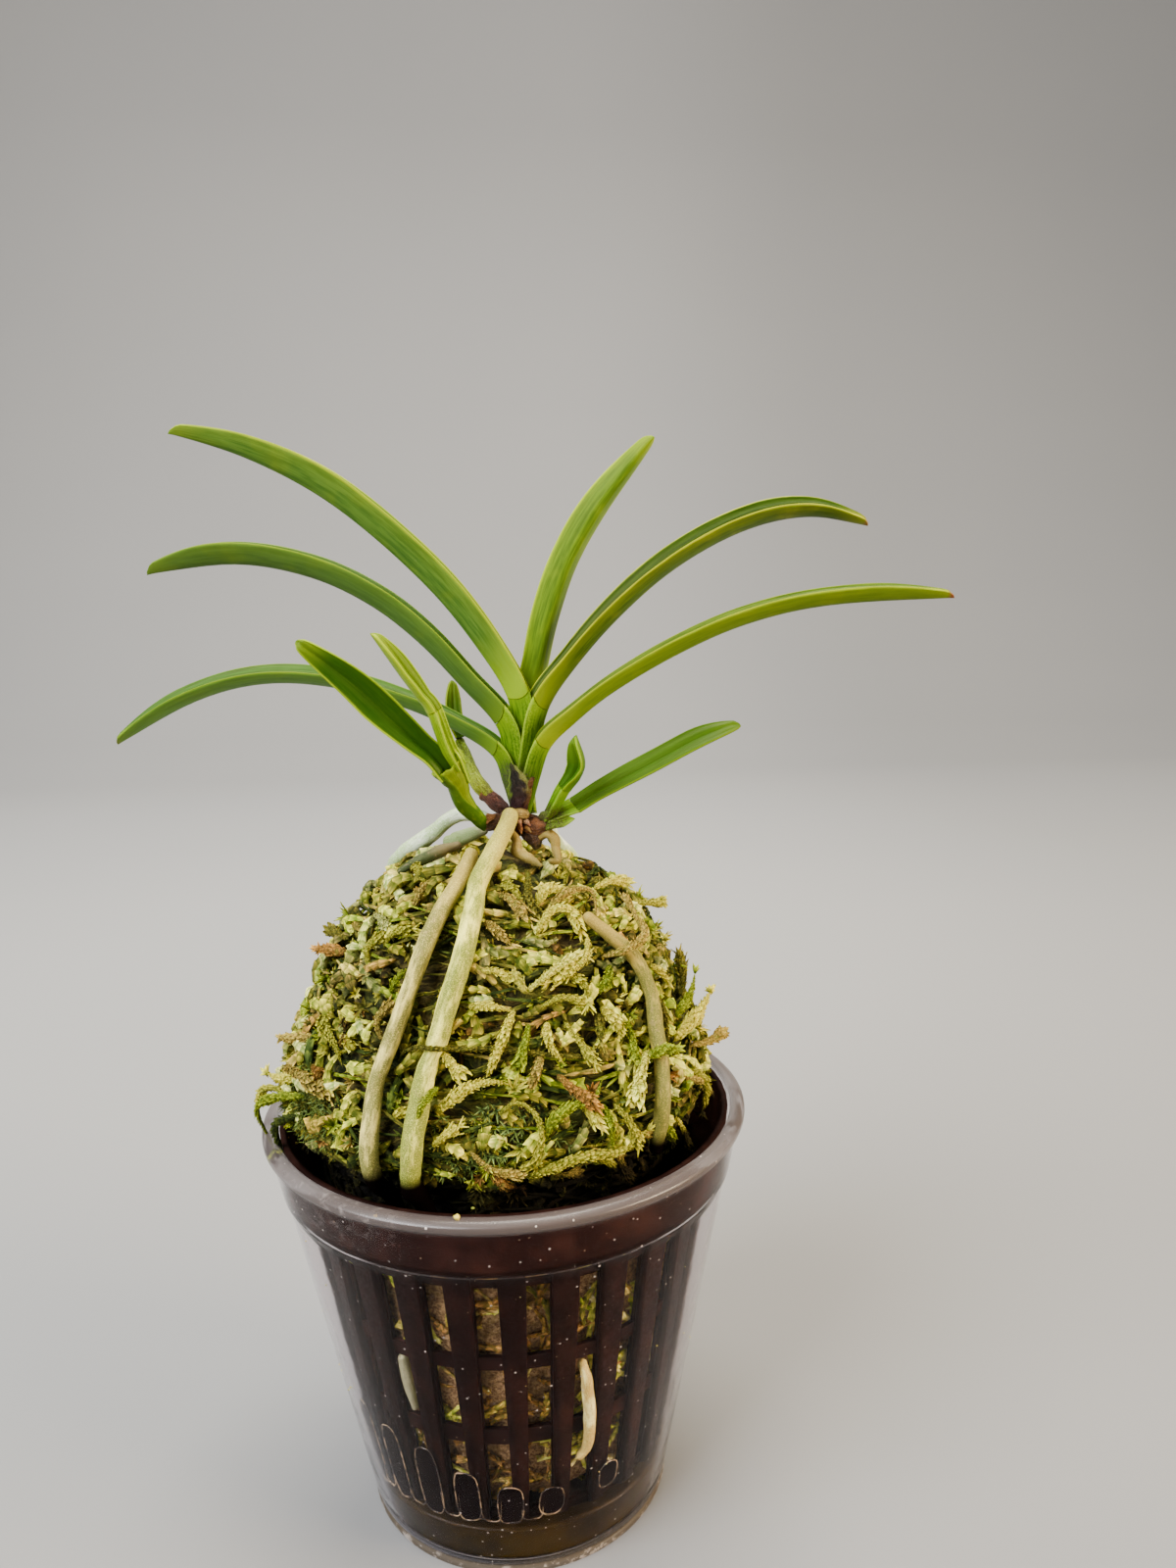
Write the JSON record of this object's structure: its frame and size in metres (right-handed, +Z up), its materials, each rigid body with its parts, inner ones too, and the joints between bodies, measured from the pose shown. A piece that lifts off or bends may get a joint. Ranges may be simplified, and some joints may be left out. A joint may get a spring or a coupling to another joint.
{
  "type": "potted wind orchid",
  "caption": "Small wind orchid with curved folded leaves and thick roots on a domed moss mound, in a slotted black net pot inside a clear tapered cup.",
  "frame": {"origin": "centre of the underside of the outer cup, on the surface that it stands on", "axes": "+Z up, -Y towards the front where the two long roots lie, +X to the right; the leaves fan out along X"},
  "size_m": [0.1505, 0.09, 0.2007],
  "materials": {
    "clear_cup": "gloss",
    "net_pot": "satin",
    "moss": "matte",
    "leaf": "satin",
    "young_leaf": "satin",
    "sheath": "satin",
    "old_sheath": "matte",
    "crown": "matte",
    "root": "matte",
    "silver_root": "matte"
  },
  "bodies": {
    "root": {"outer_cup": "clear_cup", "net_pot": "net_pot", "moss_mound": "moss", "crown": "crown", "main_stem": "sheath", "old_leaf_sheath": "old_sheath", "blade_left_top": "leaf", "blade_left_middle": "leaf", "blade_left_low": "leaf", "blade_right_upright": "leaf", "blade_right_top": "leaf", "blade_right_low": "leaf", "front_shoot_stem": "sheath", "front_shoot_broad_blade": "young_leaf", "front_shoot_young_blade": "young_leaf", "back_shoot_stem": "old_sheath", "back_shoot_blade": "young_leaf", "right_shoot_stem": "sheath", "right_shoot_long_blade": "young_leaf", "right_shoot_upright_blade": "young_leaf", "root_front_long": "root", "root_front_left": "root", "root_right": "root", "root_back_left": "silver_root", "root_back": "silver_root", "root_stub_left": "silver_root", "root_short_front": "root", "root_old_left": "root", "root_curl_right": "root", "root_out_of_slot": "silver_root", "root_behind_slot": "silver_root"}
  },
  "joints": []
}
